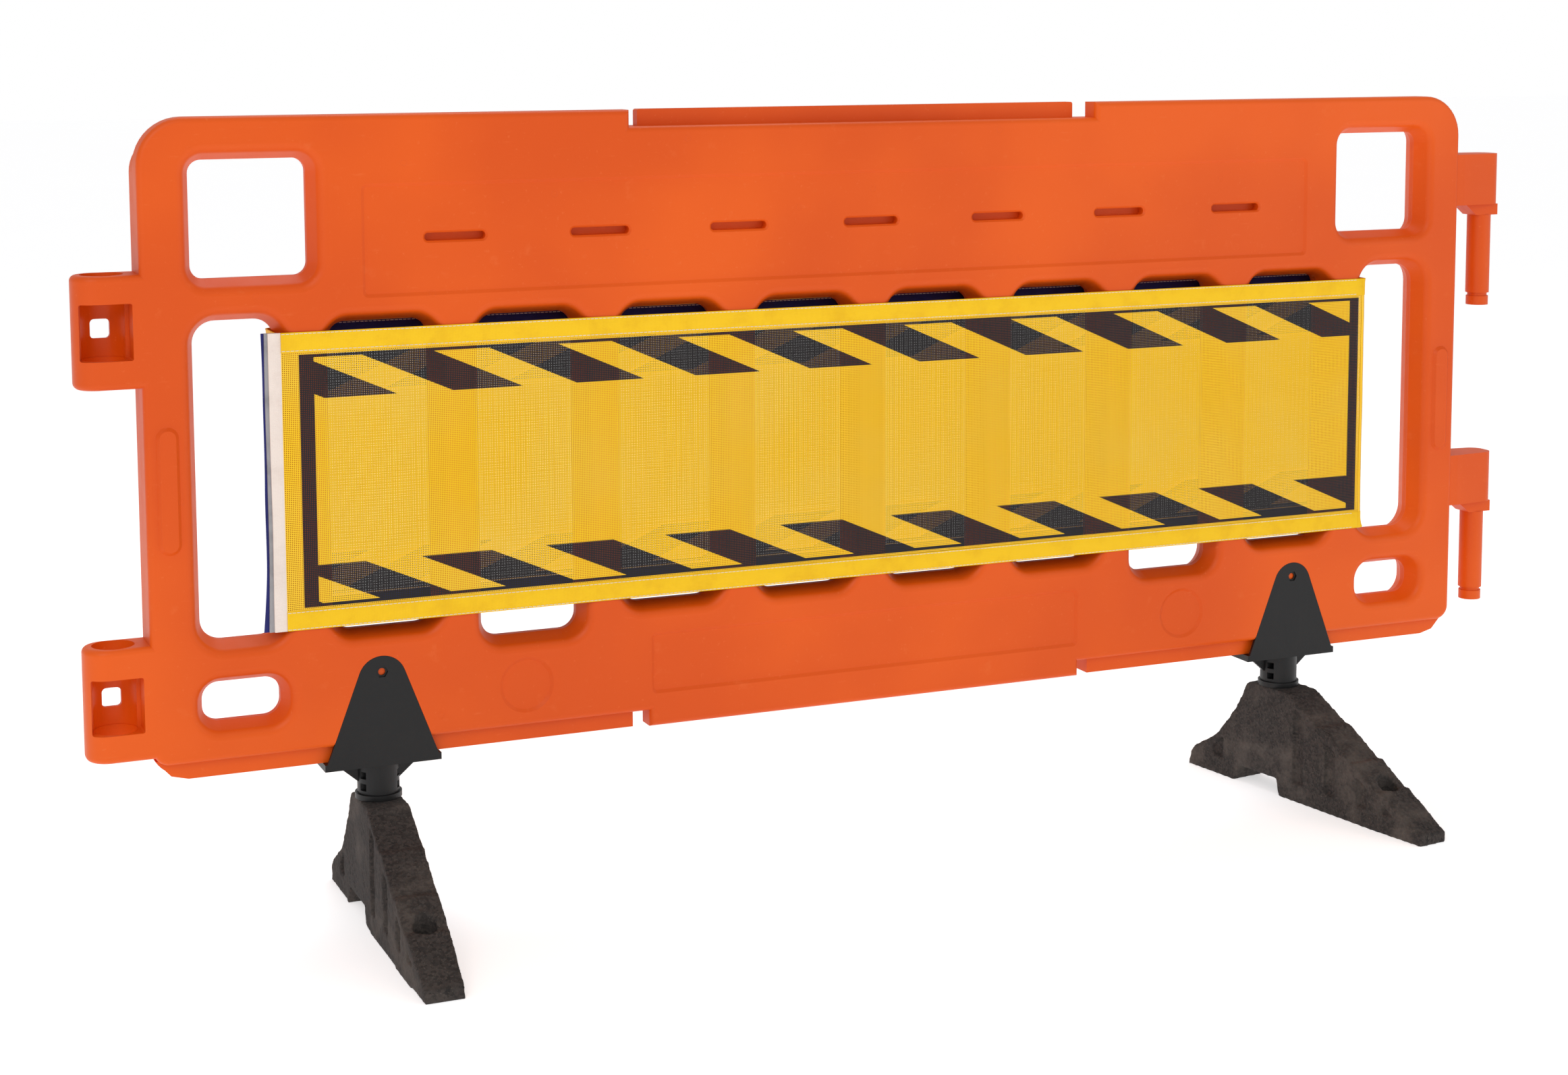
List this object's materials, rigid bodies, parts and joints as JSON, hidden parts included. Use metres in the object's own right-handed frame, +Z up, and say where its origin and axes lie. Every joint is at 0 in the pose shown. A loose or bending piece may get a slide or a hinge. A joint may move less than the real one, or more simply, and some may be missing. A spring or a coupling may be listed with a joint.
{
  "type": "pedestrian barrier",
  "caption": "Hollow plastic barrier panel on swivelling rubber feet, with hook pins, sockets and a wrapped mesh cover.",
  "frame": {"origin": "on the ground, midway along the barrier and midway between the heels and the toes of its feet", "axes": "+X along the barrier towards its hook pins, the front faces -Y, +Z up"},
  "size_m": [2.042, 0.4746, 1],
  "materials": {
    "orange_plastic": "satin moulded polyethylene",
    "black_plastic": "satin",
    "recycled_rubber": "rough, crumbed",
    "yellow_mesh": "printed open mesh",
    "pale_mesh": "open mesh",
    "yellow_tape": "woven tape",
    "navy_tape": "woven tape",
    "white_strip": "loop pile",
    "grey_strip": "hook tape"
  },
  "bodies": {
    "barrier": {"barrier_panel": "orange_plastic", "foot_bracket_left": "black_plastic", "foot_bracket_right": "black_plastic", "cover_front_mesh": "yellow_mesh", "cover_back_mesh": "pale_mesh", "cover_front_hem_top": "yellow_tape", "cover_front_hem_bottom": "yellow_tape", "cover_back_hem_top": "navy_tape", "cover_back_hem_bottom": "navy_tape", "cover_right_fold": "yellow_mesh", "cover_loop_strip": "white_strip", "cover_hook_strip": "grey_strip", "cover_edge_binding": "navy_tape", "cover_left_fold": "pale_mesh"},
    "foot_left": {"rubber_foot_left": "recycled_rubber"},
    "foot_right": {"rubber_foot_right": "recycled_rubber"}
  },
  "joints": [
    {"name": "foot_left_turn", "type": "hinge", "parent": "barrier", "child": "foot_left", "pos_m": [-0.665, 0.073, 0.12], "axis": [0, 0, 1], "range_deg": [-89, 91]},
    {"name": "foot_right_turn", "type": "hinge", "parent": "barrier", "child": "foot_right", "pos_m": [0.665, 0.073, 0.12], "axis": [0, 0, 1], "range_deg": [-98, 82]}
  ]
}
